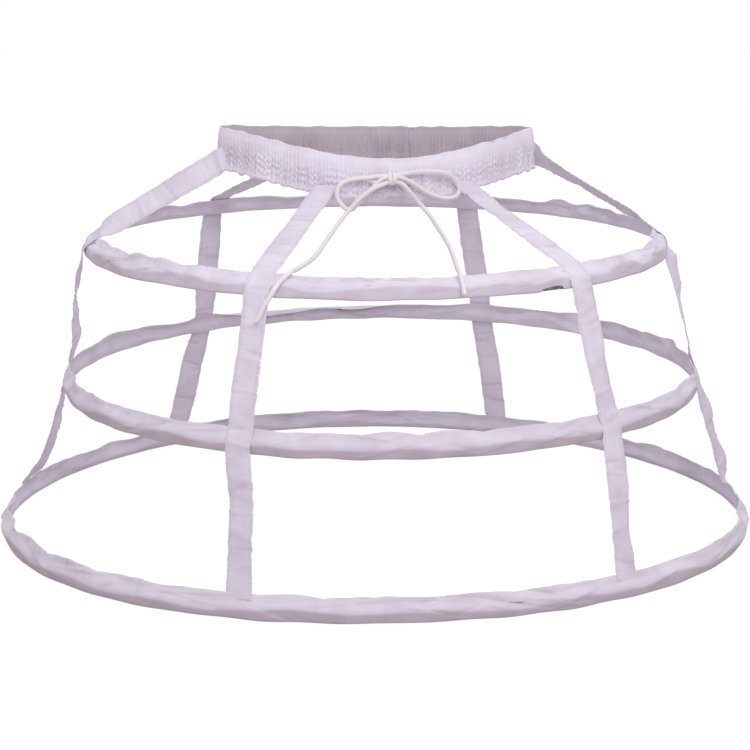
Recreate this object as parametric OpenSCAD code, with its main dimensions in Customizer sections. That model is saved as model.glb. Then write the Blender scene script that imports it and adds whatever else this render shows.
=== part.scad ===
// Crinoline cage: three sprung steel hoops in cloth casings, hung on six cloth straps
// from a gathered waistband that a drawstring ties at the front.
// Millimetres. The front is -Y, +Z is up, and the hem stands on z = 0.
// Angles round the cage run from the front (0) by the wearer's left side (90) to the back (180).

/* [Hoops] */
// Diameter of the bottom hoop, at the middle of its casing
bottom_hoop_d = 640; // [580:5:700]
// Diameter of the middle hoop, at the middle of its casing
middle_hoop_d = 556; // [500:2:600]
// Diameter of the top hoop, at the middle of its casing
top_hoop_d = 506; // [440:2:540]
// Rise from the bottom hoop to the middle hoop
middle_rise = 121; // [90:1:160]
// Rise from the middle hoop to the top hoop
top_rise = 119; // [90:1:160]
// Sideways drift of the middle hoop as it hangs
middle_drift = 6; // [-12:1:12]
// Sideways drift of the top hoop as it hangs
top_drift = 3; // [-12:1:12]
// Inward lean of the bottom casing, in degrees
bottom_lean = 18; // [4:1:30]
// Inward lean of the middle casing, in degrees
middle_lean = 16; // [0:1:30]
// Inward lean of the top casing, in degrees
top_lean = 44; // [30:1:48]

/* [Casings] */
// Height of a casing along its slope
casing_h = 20; // [18:0.5:26]
// Thickness of the cotton cloth
cloth_t = 0.7; // [0.5:0.1:1]
// Gap left between the two cloth edges at the top seam
seam_gap = 0.4; // [0.3:0.1:0.8]
// Flat that the hem wears on its lowest edge, measured as depth
hem_flat = 0.5; // [0.3:0.1:0.7]

/* [Bones] */
// Width of the steel hoop strip
bone_w = 9; // [6:0.5:10]
// Thickness of the steel hoop strip
bone_t = 0.9; // [0.6:0.1:1.2]
// Gap between the strip's two ends inside the joiner
bone_gap = 2; // [1:0.5:5]
// Length of the joiner sleeve along the hoop
joiner_l = 42; // [30:1:60]
// Wall of the joiner sleeve
joiner_wall = 0.6; // [0.4:0.1:0.8]
// Play between the strip and its joiner
joiner_play = 0.15; // [0.1:0.05:0.25]
// Place of the top hoop's joiner round the cage, in degrees
top_joiner_at = 26; // [20:1:28]
// Place of the middle hoop's joiner
middle_joiner_at = 180; // [170:1:190]
// Place of the bottom hoop's joiner
bottom_joiner_at = 178; // [170:1:190]
// Width of the worn hole in the top casing that bares the joiner
worn_hole_w = 12; // [6:1:20]
// Height of that hole up from the casing's lower edge
worn_hole_h = 4.5; // [2:0.5:6]

/* [Straps] */
// Width of a strap
strap_w = 22; // [16:1:24]
// Thickness of a strap, two layers of cloth
strap_t = 1; // [0.8:0.1:1.4]
// Length of strap sewn up over the waistband
strap_lap = 14; // [8:1:18]

/* [Waistband] */
// Width of the waist, to the middle of the band
waist_w = 272; // [240:2:300]
// Depth of the waist from front to back, to the middle of the band
waist_d = 150; // [130:2:180]
// Sideways drift of the waistband as it hangs
waist_drift = 2; // [-8:1:8]
// Height of the band
band_h = 35; // [34:0.5:42]
// Sharpness of the folds at the band's two sides, 1 for a plain oval
side_fold = 0.55; // [0.5:0.05:1]
// Height of the band's top edge at its sides over the top hoop
waist_rise = 97; // [86:1:115]
// How far one side of the band hangs below the mean of the two
side_tilt = 2; // [-4:0.5:4]
// How far the front of the band dips below its sides
front_dip = 19; // [10:0.5:22]
// How far the back of the band dips below its sides
back_dip = 7.5; // [0:0.5:12]
// Height of the ruffle below the stitched channel
ruffle_h = 12; // [10:0.5:13]
// Outward flare of the ruffle's lower edge
ruffle_flare = 1.5; // [0:0.1:2]
// Up and down wave of the ruffle's lower edge
ruffle_wave = 0.8; // [0:0.1:1.5]
// Number of gathers round the band
gathers = 130; // [90:2:130]
// Depth of one gather
gather_depth = 1.2; // [0.6:0.1:1.6]
// Height of the rounded fold along the top edge
fold_h = 4; // [3:0.5:5]
// Width of the elastic inside the band
elastic_w = 12; // [8:0.5:12]
// Thickness of the elastic
elastic_t = 1.2; // [0.8:0.1:1.4]

/* [Drawstring] */
// Diameter of the drawstring
cord_d = 3.8; // [3:0.1:4]
// Radius of the bow's knot
knot_r = 5.5; // [5:0.1:7]
// Length of the bow's knot, across the front
knot_l = 7; // [6:0.5:10]
// Width of each eyelet in the band's outer layer
eyelet_w = 11; // [10:0.5:14]

/* [Hidden] */

$fn = 96;
fit = 0.3;              // clearance between cloth, steel and cord
cotton = "#ded6e4";
inner_cotton = "#cfc6d6";
cord_white = "#e6e1e0";
steel = "#8d8f94";
dark_steel = "#5c5d62";

// Hoops are numbered from the bottom: 0, 1 and 2
bevel = 1;                                           // rounding of the casing's lower corners
joiner_w = bone_w + 2 * (joiner_play + joiner_wall);
joiner_t = bone_t + 2 * (joiner_play + joiner_wall);
channel_t = joiner_t + 2 * fit;
belly = channel_t / 2 + cloth_t;                     // half the casing's thickness round the bone
casing_top = casing_h / 2;
casing_low = -casing_h / 2;
channel_low = casing_low + cloth_t;
channel_top = channel_low + joiner_w + 2 * fit;
neck_h = 3;                                          // where the channel closes into the seam
seam_low = channel_top + neck_h;
seam = [strap_t + 2 * fit, seam_gap, seam_gap];      // the bottom seam also holds the strap ends
bone_at = channel_low + fit + joiner_w / 2;

hem_z = casing_top * cos(bottom_lean) + (belly - bevel) * sin(bottom_lean) - hem_flat;
hoop_r = [bottom_hoop_d, middle_hoop_d, top_hoop_d] / 2;
hoop_z = [hem_z, hem_z + middle_rise, hem_z + middle_rise + top_rise];
hoop_x = [0, middle_drift, top_drift];
hoop_lean = [bottom_lean, middle_lean, top_lean];
joiner_at = [bottom_joiner_at, middle_joiner_at, top_joiner_at];

// The band is one folded strip: two gathered layers with a channel between them
band_a = waist_w / 2;
band_b = waist_d / 2;
channel_half = cord_d / 2 + fit;
slit = fit;                                          // half the gap between the ruffle's two layers
crest = channel_half + cloth_t + gather_depth;       // farthest that a gather stands off the middle
cord_h = ruffle_h + cord_d / 2 + 2;                  // the drawstring runs just above the stitching
eyelet_low = ruffle_h + 1.3;
eyelet_high = 2 * cord_h - eyelet_low;
ceiling = band_h - fold_h;
elastic_top = ceiling - fit;
strap_lift = fit + strap_t / 2;                      // strap's middle above what it lies on
columns = 2 * gathers;

// The bow's knot, on the front of the band
knot_right = 4;
knot_rise = 19;
knot_at = [knot_right, -(band_b + crest + fit + knot_r), band_low_z(0) + knot_rise];
knot_place = asin((knot_right - waist_drift) / band_a);
strand = cord_d / 2 + fit;                           // half the spacing of the four strands in the knot

// Where the drawstring leaves its channel: degrees from the knot, and distance off the band's middle
leaving = [[12, 0], [10.5, 0], [9, 0.6], [7.8, 2.6], [6.8, 5.2], [5.6, 7]];
eyelet_place = 7.9;

// Routes of the free cord from the knot's middle, after they leave its faces
left_loop_route = [[-10, 2.5, 2], [-20, 3, 1], [-31, 4, 0], [-39, 4, -2], [-44, 3.5, -6], [-46, 3, -13],
                   [-43, 2.5, -20], [-38, 2, -25], [-33, 2, -25], [-27, 2, -19], [-20, 0.5, -11],
                   [-14, -1.5, -4.5], [-8.5, -2.2, 0.5]];
right_loop_route = [[10, 2.5, 3.5], [20, 3, 5], [30, 4.5, 5], [40, 6, 4.5], [48, 7.5, 3], [53, 8.5, 0],
                    [57, 9.5, -5], [59, 10, -11], [56, 9.5, -16.5], [49, 8, -18], [40, 6, -16.5],
                    [32, 4.5, -13], [24, 2.5, -8], [16, -0.5, -3], [10, -2, 0.5]];
left_tail_route = [[-9, -5, -4], [-16, -5.5, -7], [-23, -4.5, -12], [-30, -3.5, -18], [-36, -3, -25],
                   [-41, -5, -30], [-49, -18, -37], [-59, -41, -44], [-68, -65, -50], [-77, -89, -53],
                   [-87, -115, -53.5], [-93, -132, -53], [-97, -143.9, -52.2], [-102, -147.5, -55.4],
                   [-105.9, -149.2, -58.6], [-108.6, -151.5, -61.7], [-111.2, -154.5, -64.5],
                   [-114, -155.2, -69.4], [-119, -154.3, -77], [-122, -153.8, -84], [-125, -153.2, -89]];
right_tail_route = [[8.5, -4.5, -4], [14, -4.5, -10], [20, -2.5, -17], [26, -2.5, -24], [31, -9, -30],
                    [34, -25, -36], [36, -50, -41], [37, -75, -45.5], [36, -105, -49.5], [33.5, -135, -51.5],
                    [32, -152, -52], [31.5, -161.1, -52], [32, -165.9, -55], [32.6, -170.1, -59.3],
                    [33, -174.3, -63.7], [33, -177.7, -67.3]];

// Straps: place on the band and slant there, angles at the top, middle and bottom hoops,
// then the twist and the outward slack of the three free spans
taut = [0, 0, 0];
straps = [[-24, 0, [-28, -30, -25], taut, taut],
          [31, 0, [32, 34, 31], taut, taut],
          [111, -58, [86, 84, 88], [0, 25, 25], [0, 3, 1]],
          [148, 0, [153, 152, 149], taut, taut],
          [215, 0, [211, 213, 213], taut, taut],
          [-70, -58, [-88, -94, -101], [0, 20, 30], [0, 7, 0]]];
off_band = 6;                                        // how far a strap stands out before it turns

function unit(v) = v / norm(v);

// A point beside hoop k: n outward from its casing's middle, u up its slope
function on_hoop(k, at, n, u) =
    let (lean = hoop_lean[k],
         r = hoop_r[k] + n * cos(lean) - u * sin(lean))
    [hoop_x[k] + r * sin(at), -r * cos(at), hoop_z[k] + n * sin(lean) + u * cos(lean)];

function round_hoop(at) = [cos(at), sin(at), 0];

// Height of the band's lower edge at place t, and a point n off the band's middle and h up it
function band_low_z(t) =
    let (dip = cos(t) > 0 ? front_dip * cos(t) ^ 3 : back_dip * cos(t) ^ 2)
    hoop_z[2] + waist_rise - side_tilt * sin(t) - dip - band_h;

function on_band(t, n, h) =
    let (along = round_band(t), out = [along[1], -along[0], 0],
         depth = band_b * cos(t) * (side_fold + (1 - side_fold) * cos(t) ^ 2))
    [waist_drift + band_a * sin(t), -depth, band_low_z(t) + h] + n * out;

function round_band(t) =
    unit([band_a * cos(t), band_b * sin(t) * (side_fold + 3 * (1 - side_fold) * cos(t) ^ 2), 0]);

// Directions along a route, and a side vector carried along it without twisting
function headings(path) =
    [for (i = [0 : len(path) - 1])
        unit(path[min(i + 1, len(path) - 1)] - path[max(i - 1, 0)])];

function carried(heads, side, i = 0) =
    i == len(heads) ? [] :
    let (now = unit(side - heads[i] * (side * heads[i])))
    concat([now], carried(heads, now, i + 1));

// Rings of a round cord; the ends that meet the knot are cut square to the way given
function cord_rings(path, sides, first_way, last_way) =
    let (middle = headings(path),
         last = len(path) - 1,
         heads = [for (i = [0 : last])
             i == 0 ? first_way : i == last && last_way != undef ? last_way : middle[i]],
         right = carried(heads, [0, 1, 0.2]))
    [for (i = [0 : last])
        [for (j = [0 : sides - 1])
            path[i] + cord_d / 2 * (cos(360 * j / sides) * right[i]
                                    + sin(360 * j / sides) * cross(right[i], heads[i]))]];

// Rings of a flat strip: each station is a middle point and the direction of its width
function strip_rings(stations, wide, thick) =
    let (heads = headings([for (s = stations) s[0]]))
    [for (i = [0 : len(stations) - 1])
        let (side = stations[i][1],
             face = unit(cross(side, heads[i])))
        [for (c = [[1, -1], [1, 1], [-1, 1], [-1, -1]])
            stations[i][0] + c[0] * side * wide / 2 + c[1] * face * thick / 2]];

// Two triangles for the patch between points k and k + 1 of rings i and j
function patch(i, j, k, size) =
    let (next = (k + 1) % size)
    [[i * size + k, i * size + next, j * size + next], [i * size + k, j * size + next, j * size + k]];

// The same patch cut along its other diagonal
function cross_patch(i, j, k, size) =
    let (next = (k + 1) % size)
    [[i * size + k, i * size + next, j * size + k], [i * size + next, j * size + next, j * size + k]];

function quad(a, b, c, d) = [[a, b, c], [a, c, d]];

// Closes a row of rings into one solid with flat ends; a strip's two faces are cut alike,
// so that it keeps its thickness where it twists
module skin(rings, strip = false) {
    size = len(rings[0]);
    last = len(rings) - 1;
    walls = [for (i = [0 : last - 1], k = [0 : size - 1])
        each strip && k == size - 1 ? cross_patch(i, i + 1, k, size) : patch(i, i + 1, k, size)];
    ends = [[for (k = [size - 1 : -1 : 0]) k], [for (k = [0 : size - 1]) last * size + k]];
    polyhedron([for (r = rings) each r], concat(walls, ends), convexity = 8);
}

// Closes a ring of rings into one endless solid
module endless_skin(rings) {
    size = len(rings[0]);
    count = len(rings);
    walls = [for (i = [0 : count - 1], k = [0 : size - 1]) each patch(i, (i + 1) % count, k, size)];
    polyhedron([for (r = rings) each r], walls, convexity = 8);
}

// Waistband: gathers alternate between a crest and a valley, evenly along the band's length
band_step = 2;
band_lengths = [for (i = 0, s = 0; i <= 360 / band_step;
                     s = s + norm(on_band((i + 1) * band_step, 0, 0) - on_band(i * band_step, 0, 0)),
                     i = i + 1)
    [s, i * band_step]];

function band_place(i) = lookup(band_lengths[360 / band_step][0] * i / columns, band_lengths);

function band_section(i) =
    let (up = i % 2,
         deep = up * gather_depth * (0.85 + 0.15 * sin(67 * i)),
         dip = (up - 0.5) * ruffle_wave,
         out = channel_half + cloth_t,
         edge = slit + cloth_t)
    [[edge + ruffle_flare + deep, dip], [edge + deep / 2, ruffle_h],
     [out + deep, eyelet_low], [out + deep, eyelet_high], [out + deep / 2, ceiling],
     [channel_half / 2, band_h], [-channel_half / 2, band_h], [-out - deep / 2, ceiling],
     [-out - deep, eyelet_low], [-edge - deep / 2, ruffle_h], [-edge - deep, dip],
     [-slit, dip], [-slit, ruffle_h], [-channel_half, eyelet_low], [-channel_half, ceiling],
     [channel_half, ceiling], [channel_half, eyelet_high], [channel_half, eyelet_low],
     [slit, ruffle_h], [slit, dip]];

outer_eyelet_row = 2;
inner_eyelet_row = 16;

function in_eyelet(i) =
    let (t = (band_place(i) + band_place(i + 1)) / 2,
         from_knot = t > 180 ? t - 360 - knot_place : t - knot_place,
         half = eyelet_w / 2 / band_a * 180 / PI)
    abs(abs(from_knot) - eyelet_place) < half;

module waistband() {
    rings = [for (i = [0 : columns - 1]) [for (p = band_section(i)) on_band(band_place(i), p[0], p[1])]];
    size = len(rings[0]);
    low = [outer_eyelet_row, inner_eyelet_row + 1];
    high = [outer_eyelet_row + 1, inner_eyelet_row];
    walls = [for (i = [0 : columns - 1], k = [0 : size - 1])
        if (!(in_eyelet(i) && (k == outer_eyelet_row || k == inner_eyelet_row)))
            each patch(i, (i + 1) % columns, k, size)];
    rims = [for (i = [0 : columns - 1])
        let (a = i * size, b = ((i + 1) % columns) * size)
        if (in_eyelet(i))
            each concat(
                quad(a + low[0], b + low[0], b + low[1], a + low[1]),
                quad(b + high[0], a + high[0], a + high[1], b + high[1]),
                in_eyelet(i - 1) ? [] : quad(a + high[0], a + low[0], a + low[1], a + high[1]),
                in_eyelet(i + 1) ? [] : quad(b + low[0], b + high[0], b + high[1], b + low[1]))];
    color(cotton) polyhedron([for (r = rings) each r], concat(walls, rims), convexity = 12);
}

// Elastic: a flat loop that lies against the inner layer, above the drawstring
module waist_elastic() {
    steps = 68;
    inward = channel_half - fit - elastic_t;
    section = [[-inward, elastic_top - elastic_w], [-inward, elastic_top],
               [-inward - elastic_t, elastic_top], [-inward - elastic_t, elastic_top - elastic_w]];
    color(inner_cotton)
        endless_skin([for (i = [0 : steps - 1])
            [for (p = section) on_band(360 * i / steps, p[0], p[1])]]);
}

// A strand's place on the knot's left (-1) or right (1) face
function on_knot(side, back, up) = knot_at + [side * knot_l / 2, back * strand, up * strand];

// Drawstring: round the channel, out of both eyelets and into the back of the knot
module drawstring() {
    turns = 56;
    first = knot_place - leaving[0][0];
    sweep = 360 - 2 * leaving[0][0];
    out_left = [for (i = [len(leaving) - 1 : -1 : 1])
        on_band(knot_place - leaving[i][0], leaving[i][1], cord_h)];
    out_right = [for (i = [1 : len(leaving) - 1])
        on_band(knot_place + leaving[i][0], leaving[i][1], cord_h)];
    round_back = [for (i = [0 : turns]) on_band(first - sweep * i / turns, 0, cord_h)];
    path = concat([on_knot(-1, 1, -1)], out_left, round_back, out_right, [on_knot(1, 1, -1)]);
    color(cord_white) skin(cord_rings(path, 8, [-1, 0, 0], [-1, 0, 0]));
}

// Knot: the cord's wrap round the crossing strands, with its axis across the front
module bow_knot() {
    waist = knot_r - 0.8;
    color(cord_white) translate(knot_at) rotate([0, 90, 0]) rotate_extrude()
        polygon([[0, -knot_l / 2], [waist, -knot_l / 2], [knot_r, -knot_l / 4], [waist, 0],
                 [knot_r, knot_l / 4], [waist, knot_l / 2], [0, knot_l / 2]]);
}

// A loop of the bow, out of one face of the knot and back into it
module bow_loop(side, route) {
    path = concat([on_knot(side, 1, 1)], [for (p = route) knot_at + p], [on_knot(side, -1, 1)]);
    color(cord_white) skin(cord_rings(path, 8, [side, 0, 0], [-side, 0, 0]));
}

// A free end of the drawstring, from the knot down over the top hoop
module bow_tail(side, route) {
    path = concat([on_knot(side, -1, -1)], [for (p = route) knot_at + p]);
    color(cord_white) skin(cord_rings(path, 8, [side, 0, 0]));
}

// Stations over a casing: round its top edge, down its face, off its lower edge
function over_casing(k, at, arrival) =
    let (edge = seam[k] / 2 + cloth_t)
    concat([for (a = arrival) [on_hoop(k, at, edge + strap_lift * cos(a), casing_top + strap_lift * sin(a)),
                               round_hoop(at)]],
           [for (u = [channel_top, casing_low + bevel])
               [on_hoop(k, at, belly + strap_lift, u), round_hoop(at)]]);

// Stations on the band: straight down it and off, or slanting towards the fold at its side
function over_band(place, slant) =
    slant == 0
    ? [for (s = [[0, strap_lap], [0, strap_lap / 2], [0, -fit], [off_band, -off_band / 2]])
        [on_band(place, crest + strap_lift + s[0], s[1]), round_band(place)]]
    : let (down = round_band(place) * sin(slant) - [0, 0, cos(slant)],
           side = round_band(place) * cos(slant) + [0, 0, sin(slant)])
      [for (s = [0, 6, 12, 18]) [on_band(place, crest + strap_lift, strap_lap) + s * down, side]];

// Stations of a free span, with the width turning from one end to the other and some slack
function across(from, to, twist, slack, count) =
    let (way = unit(to[0] - from[0]))
    [for (i = [1 : count])
        let (f = i / (count + 1),
             side = unit(from[1] * (1 - f) + to[1] * f),
             turn = twist * sin(180 * f) ^ 2,
             flat = unit(side - way * (side * way)),
             middle = from[0] * (1 - f) + to[0] * f,
             outward = unit([middle[0], middle[1], 0]))
        [middle + slack * sin(180 * f) * outward, flat * cos(turn) + cross(way, flat) * sin(turn)]];

// Strap: sewn over the band, over the two upper casings and into the hem's seam
module strap(k) {
    slant = straps[k][1];
    at = straps[k][2];
    twist = straps[k][3];
    slack = straps[k][4];
    rings = slant == 0 ? 6 : 9;
    on_waist = over_band(straps[k][0], slant);
    on_top = over_casing(2, at[0], [32, 16, 0]);
    on_middle = over_casing(1, at[1], [20, 0]);
    in_hem = [for (u = [casing_top + 1, casing_top - 1, seam_low + fit])
        [on_hoop(0, at[2], 0, u), round_hoop(at[2])]];
    stations = concat(on_waist, across(on_waist[3], on_top[0], twist[0], slack[0], rings),
                      on_top, across(on_top[4], on_middle[0], twist[1], slack[1], rings),
                      on_middle, across(on_middle[3], in_hem[0], twist[2], slack[2], rings), in_hem);
    color(cotton) skin(strip_rings(stations, strap_w, strap_t), strip = true);
}

// Casing: a cloth strip folded round the bone, its two edges sewn together along the top
module casing_ring(k) {
    gap = seam[k] / 2;
    edge = gap + cloth_t;
    half = channel_t / 2;
    translate([hoop_x[k], 0, hoop_z[k]]) rotate_extrude()
        translate([hoop_r[k], 0]) rotate(hoop_lean[k])
            polygon([[edge, casing_top], [gap, casing_top], [gap, seam_low], [half, channel_top],
                     [half, channel_low], [-half, channel_low], [-half, channel_top], [-gap, seam_low],
                     [-gap, casing_top], [-edge, casing_top], [-belly, channel_top],
                     [-belly, casing_low + bevel], [bevel - belly, casing_low],
                     [belly - bevel, casing_low], [belly, casing_low + bevel], [belly, channel_top]]);
}

module bottom_casing() {
    deep = 10;
    color(cotton) difference() {
        casing_ring(0);
        translate([0, 0, -deep]) cylinder(r = hoop_r[0] + casing_h, h = deep);
    }
}

module middle_casing() {
    color(cotton) casing_ring(1);
}

// The top casing has worn through along its lower edge, over the joiner
module top_casing() {
    color(cotton) difference() {
        casing_ring(2);
        round_arc(2, top_joiner_at, worn_hole_w)
            translate([bevel - belly, casing_low - 1]) square([2 * belly, worn_hole_h + 1]);
    }
}

// Sweeps a section that stands beside hoop k through a length of arc, centred on an angle
module round_arc(k, at, long) {
    sweep = long / hoop_r[k] * 180 / PI;
    translate([hoop_x[k], 0, hoop_z[k]]) rotate([0, 0, at - 90 - sweep / 2])
        rotate_extrude(angle = sweep) translate([hoop_r[k], 0]) rotate(hoop_lean[k]) children();
}

// Bone: a spring steel strip bent into an open hoop, its ends meeting in the joiner
module bone(k) {
    round_trip = 2 * PI * hoop_r[k];
    color(steel) round_arc(k, joiner_at[k] + 180, round_trip - bone_gap)
        translate([-bone_t / 2, bone_at - bone_w / 2]) square([bone_t, bone_w]);
}

// Joiner: a flat sleeve over the bone's two ends
module joiner(k) {
    bore = [bone_t + 2 * joiner_play, bone_w + 2 * joiner_play];
    color(dark_steel) round_arc(k, joiner_at[k], joiner_l)
        translate([0, bone_at]) difference() {
            square([joiner_t, joiner_w], center = true);
            square(bore, center = true);
        }
}

waistband();
waist_elastic();
drawstring();
bow_knot();
bow_loop(-1, left_loop_route);  // left_bow_loop
bow_loop(1, right_loop_route);  // right_bow_loop
bow_tail(-1, left_tail_route);  // left_bow_tail
bow_tail(1, right_tail_route);  // right_bow_tail
strap(0);  // front_left_strap
strap(1);  // front_right_strap
strap(2);  // right_strap
strap(3);  // back_right_strap
strap(4);  // back_left_strap
strap(5);  // left_strap
top_casing();
middle_casing();
bottom_casing();
bone(2);  // top_bone
bone(1);  // middle_bone
bone(0);  // bottom_bone
joiner(2);  // top_joiner
joiner(1);  // middle_joiner
joiner(0);  // bottom_joiner
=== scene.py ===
# %% [markdown]
# # A crinoline cage, dressed in cloth
# A crinoline cage holds a skirt out in a dome. Steel hoops run inside cotton casings, cloth straps carry
# the hoops, and a gathered band with a drawstring closes round the waist. The solid model gives the sizes
# and the places of all these pieces. This lesson replaces each solid by cloth, cord or steel that looks
# made: sewn, gathered, creased and a little out of true, as such a garment is.

import math

import bpy
import numpy as np
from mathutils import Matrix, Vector


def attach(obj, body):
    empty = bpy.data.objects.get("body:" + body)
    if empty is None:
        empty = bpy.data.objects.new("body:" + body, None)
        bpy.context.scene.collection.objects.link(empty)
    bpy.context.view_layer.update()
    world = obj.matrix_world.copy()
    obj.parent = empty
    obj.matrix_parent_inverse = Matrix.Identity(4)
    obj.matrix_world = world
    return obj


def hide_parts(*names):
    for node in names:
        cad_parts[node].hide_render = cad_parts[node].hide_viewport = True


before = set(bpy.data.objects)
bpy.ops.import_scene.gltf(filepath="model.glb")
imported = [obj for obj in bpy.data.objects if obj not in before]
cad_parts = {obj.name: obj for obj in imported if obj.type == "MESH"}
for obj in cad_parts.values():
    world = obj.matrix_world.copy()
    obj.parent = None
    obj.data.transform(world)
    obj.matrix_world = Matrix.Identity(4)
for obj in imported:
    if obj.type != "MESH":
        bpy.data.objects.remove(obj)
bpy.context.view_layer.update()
MM = 0.001

# %% [markdown]
# ## The camera
# The photograph was taken from the front, a little to the left and about eleven degrees above level,
# through a long lens. A long lens keeps the hoops' ovals true. The lens looks at the middle of the cage,
# and a small shift sets the cage at the height that it has in the photograph.

# %% Camera
IMAGE = 750
FOCAL_PIXELS = 2128.0
EYE_TURN, EYE_RISE, EYE_AWAY = math.radians(-6.9), math.radians(10.93), 1.889
AIM = Vector((0, 0, 0.1795))

eye_way = Vector((math.sin(EYE_TURN) * math.cos(EYE_RISE), -math.cos(EYE_TURN) * math.cos(EYE_RISE),
                  math.sin(EYE_RISE)))
lens = bpy.data.cameras.new("photo_lens")
lens.sensor_width = 36
lens.lens = 36 * FOCAL_PIXELS / IMAGE
lens.shift_y = -0.0804
camera = bpy.data.objects.new("photo_camera", lens)
camera.location = AIM + eye_way * EYE_AWAY
camera.rotation_euler = (-eye_way).to_track_quat("-Z", "Y").to_euler()
bpy.context.scene.collection.objects.link(camera)
bpy.context.scene.camera = camera
print("camera at", [round(v, 3) for v in camera.location], "lens", round(lens.lens, 1), "mm")

# %% [markdown]
# ## Where things are
# Every piece is placed beside a hoop or along the waistband, so two small rules give all the places. A
# hoop's rule takes an angle round the cage and two distances: out from the casing, and up its slope. The
# band's rule takes a place round the waist, a distance off the band and a height up it. Spring steel goes
# out of round where straps pull on it, so each hoop has a few millimetres of its own: wider at the sides,
# deeper from front to back, egg-shaped, skewed, or raised at the front. The waist is an oval that lies
# folded at its two sides. Working in millimetres keeps the numbers readable.

# %% Places beside the hoops and on the band
HOOPS = {
    "bottom": dict(r=320.0, z=9.38, x=-1.5, lean=math.radians(18),
                   wide=5.5, deep=-6.5, egg=22, skew=0, front=2.5),
    "middle": dict(r=278.0, z=132.4, x=6.0, lean=math.radians(16),
                   wide=0, deep=0, egg=4, skew=-7, front=-2),
    "top": dict(r=253.0, z=249.38, x=1.5, lean=math.radians(44),
                wide=-2.5, deep=0, egg=-7, skew=0, front=0),
}
BAND_A, BAND_B, BAND_X, BAND_H = 136.0, 75.0, 2.0, 35.0
SIDE_FOLD = 0.55                     # 1 would be a plain oval


def unit(v):
    return v / np.linalg.norm(v, axis=-1, keepdims=True)


def distances(points):
    """How far along a line of points each of them is."""
    return np.concatenate([[0], np.linalg.norm(np.diff(points, axis=0), axis=1).cumsum()])


def beside_hoop(hoop, at, out, up):
    """Points beside a hoop, for arrays of angles in radians and of distances in millimetres. The half that
    holds the steel hangs more upright than the loose half above it."""
    h = HOOPS[hoop]
    out = out - 0.3 * np.clip(-np.asarray(up, float), 0, None)
    s, c = np.sin(at), np.cos(at)
    sprung = h["wide"] * s ** 2 + h["deep"] * c ** 2 + h["egg"] * s ** 2 * c + h["skew"] * s * c
    r = h["r"] + sprung + out * np.cos(h["lean"]) - up * np.sin(h["lean"])
    z = h["z"] + h["front"] * (0.5 + 0.5 * np.cos(at)) + out * np.sin(h["lean"]) + up * np.cos(h["lean"])
    at, r, z = np.broadcast_arrays(at, r, z)
    return np.stack([h["x"] + r * np.sin(at), -r * np.cos(at), z], -1)


def band_low(t):
    """Height of the band's lower edge at a place round the waist."""
    dip = np.where(np.cos(t) > 0, 19 * np.cos(t) ** 3, 7.5 * np.cos(t) ** 2)
    return HOOPS["top"]["z"] + 97 - 2 * np.sin(t) - dip - BAND_H


def along_band(t):
    """The level direction of the band at a place round the waist."""
    folded = SIDE_FOLD + 3 * (1 - SIDE_FOLD) * np.cos(t) ** 2
    return unit(np.stack([BAND_A * np.cos(t), BAND_B * np.sin(t) * folded, 0 * t], -1))


def on_band(t, out, up):
    """Points on the band: out from its middle surface, up from its lower edge."""
    t = np.asarray(t, float)
    way = along_band(t)
    depth = BAND_B * np.cos(t) * (SIDE_FOLD + (1 - SIDE_FOLD) * np.cos(t) ** 2)
    x, y, z = np.broadcast_arrays(BAND_X + BAND_A * np.sin(t) + out * way[..., 1],
                                  -depth - out * way[..., 0], band_low(t) + up)
    return np.stack([x, y, z], -1)


def evenly_round(count):
    """Places round the waist at equal steps of length."""
    t = np.linspace(0, 2 * np.pi, 1441)
    length = distances(on_band(t, 0, 0))
    return np.interp(np.arange(count) * length[-1] / count, length, t)


waist = on_band(evenly_round(720), 0, 0)
print("waist is", round(float(np.linalg.norm(waist - np.roll(waist, 1, 0), axis=1).sum())), "mm round")

# %% [markdown]
# ## Irregular cloth
# Sewn cloth is never quite regular: edges wander, gathers crowd and spread. Random numbers for every
# vertex would look like gravel. A sum of a few slow waves with fixed random phases wanders smoothly, and
# whole numbers of waves round a hoop make the two ends meet.

# %% Smooth wandering and easing
def wander(turn, low, high, amount, seed, waves=14):
    """A smooth random wave over an angle, with between low and high ups and downs in a full turn."""
    pick = np.random.default_rng(seed)
    speeds = pick.integers(low, high + 1, waves)
    phases = pick.uniform(0, 2 * np.pi, waves)
    return amount * math.sqrt(2 / waves) * sum(np.sin(k * turn + p) for k, p in zip(speeds, phases))


def ease(x, low, high):
    """Goes smoothly from 0 at low to 1 at high."""
    f = np.clip((x - low) / (high - low), 0, 1)
    return f * f * (3 - 2 * f)


def glide(marks, f):
    """Reads a list of (place, value, value ...) rows at places f, easing from row to row."""
    marks = np.array(marks, float)
    i = np.clip(np.searchsorted(marks[:, 0], f, side="right") - 1, 0, len(marks) - 2)
    share = ease((f - marks[i, 0]) / (marks[i + 1, 0] - marks[i, 0]), 0, 1)[:, None]
    return marks[i, 1:] * (1 - share) + marks[i + 1, 1:] * share


print("ease at a quarter, a half and three quarters:", ease(np.array([0.25, 0.5, 0.75]), 0, 1).round(2))

# %% [markdown]
# ## From a grid of points to cloth
# A strip of cloth is a grid: rows run along it, columns across it. One helper turns any such grid into a
# mesh with a UV map in metres of cloth, so that the weave keeps its scale on every piece. A grid can close
# on itself round a hoop, and it can close across, as a strap with two faces does.

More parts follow.
